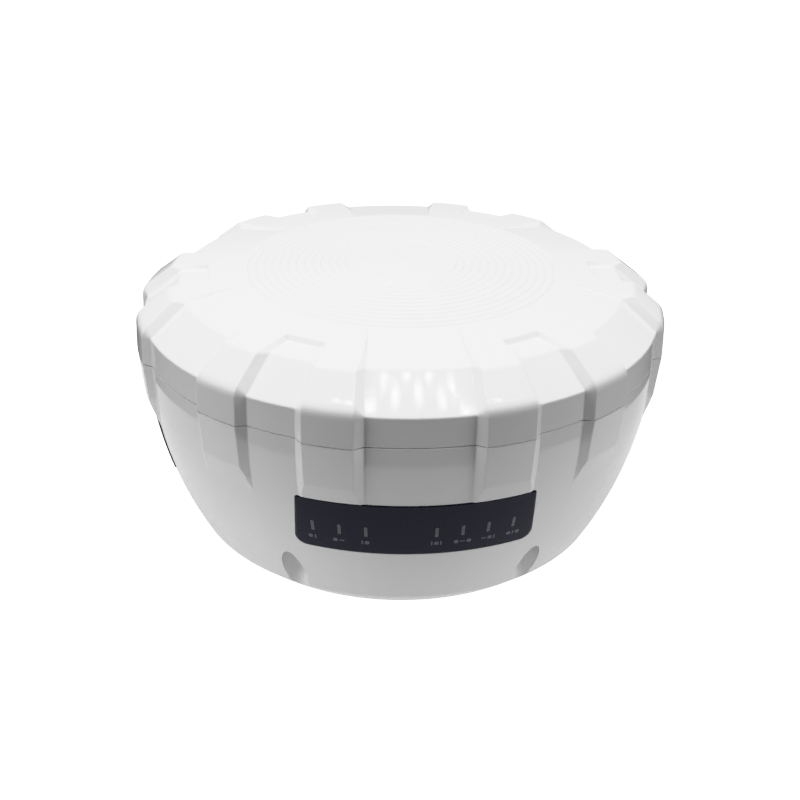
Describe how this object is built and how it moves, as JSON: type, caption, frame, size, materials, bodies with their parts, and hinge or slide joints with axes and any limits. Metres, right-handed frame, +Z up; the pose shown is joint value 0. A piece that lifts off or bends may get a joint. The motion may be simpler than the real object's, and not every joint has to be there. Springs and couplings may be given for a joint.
{
  "type": "gnss receiver",
  "caption": "Round surveying satellite receiver: lugged white dome on a bowl-shaped housing, dark LED panel, hinged battery and port doors, keys, and a pole thread below.",
  "frame": {"origin": "centre of the round foot, on the plane that it stands on", "axes": "+Z up along the axis of the pole thread, -Y towards the LED panel"},
  "size_m": [0.1934, 0.1902, 0.1025],
  "materials": {
    "white_plastic": "smooth white, satin gloss",
    "navy_panel": "smooth dark blue, satin",
    "led_lens": "translucent smoky lens",
    "black_rubber": "matt black",
    "black_plastic": "fine texture",
    "steel": "machined",
    "alloy": "turned, clear anodised",
    "brass": "turned",
    "circuit_board": "solder resist",
    "ceramic": "fired, unglazed",
    "gold_contacts": "gold plated"
  },
  "bodies": {
    "receiver": {"upper_cover": "white_plastic", "lower_housing": "white_plastic", "front_panel": "navy_panel", "battery_panel": "navy_panel", "key_panel": "navy_panel", "led_window_1": "led_lens", "led_window_2": "led_lens", "led_window_3": "led_lens", "led_window_4": "led_lens", "led_window_5": "led_lens", "led_window_6": "led_lens", "led_window_7": "led_lens", "rim_seal": "black_rubber", "battery_door_seal": "black_rubber", "port_door_seal": "black_rubber", "battery_pack": "black_plastic", "battery_door_pin": "steel", "port_door_pin": "steel", "card_slot": "steel", "usb_port": "steel", "gnss_module": "steel", "radio_module": "steel", "data_port": "steel", "case_screw_1": "steel", "case_screw_2": "steel", "case_screw_3": "steel", "case_screw_4": "steel", "case_screw_5": "steel", "case_screw_6": "steel", "plate_screw_1": "steel", "plate_screw_2": "steel", "plate_screw_3": "steel", "plate_screw_4": "steel", "base_plate": "alloy", "ground_plane": "alloy", "pole_insert": "brass", "radio_port": "brass", "antenna_spacer_1": "brass", "antenna_spacer_2": "brass", "antenna_spacer_3": "brass", "antenna_spacer_4": "brass", "main_board": "circuit_board", "antenna_element": "ceramic", "battery_contacts": "gold_contacts", "led_flex": "gold_contacts"},
    "battery_door": {"battery_door": "navy_panel"},
    "battery_latch": {"battery_door_latch": "black_plastic"},
    "port_door": {"port_door": "navy_panel"},
    "power_key": {"power_key": "black_rubber"},
    "function_key": {"function_key": "black_rubber"},
    "data_cap": {"data_port_cap": "black_rubber"},
    "radio_cap": {"radio_port_cap": "black_rubber"}
  },
  "joints": [
    {"name": "battery_door_hinge", "type": "hinge", "parent": "receiver", "child": "battery_door", "pos_m": [-0.07597, 0.04386, 0.0334], "axis": [-0.5, -0.866, 0], "range_deg": [0, 100]},
    {"name": "port_door_hinge", "type": "hinge", "parent": "receiver", "child": "port_door", "pos_m": [0.0631, 0.06094, 0.0334], "axis": [-0.6947, 0.7193, 0], "range_deg": [0, 100]},
    {"name": "battery_latch_slide", "type": "slide", "parent": "battery_door", "child": "battery_latch", "axis": [-0.5, -0.866, 0], "range_m": [0, 0.004]},
    {"name": "power_key_press", "type": "slide", "parent": "receiver", "child": "power_key", "axis": [-0.9816, -0.1908, 0], "range_m": [0, 0.0011], "stiffness_N_per_m": 1500},
    {"name": "function_key_press", "type": "slide", "parent": "receiver", "child": "function_key", "axis": [-0.9205, -0.3907, 0], "range_m": [0, 0.0011], "stiffness_N_per_m": 1500},
    {"name": "data_cap_pull", "type": "slide", "parent": "receiver", "child": "data_cap", "axis": [0, 0, -1], "range_m": [0, 0.012]},
    {"name": "radio_cap_pull", "type": "slide", "parent": "receiver", "child": "radio_cap", "axis": [0, 0, -1], "range_m": [0, 0.012]}
  ]
}
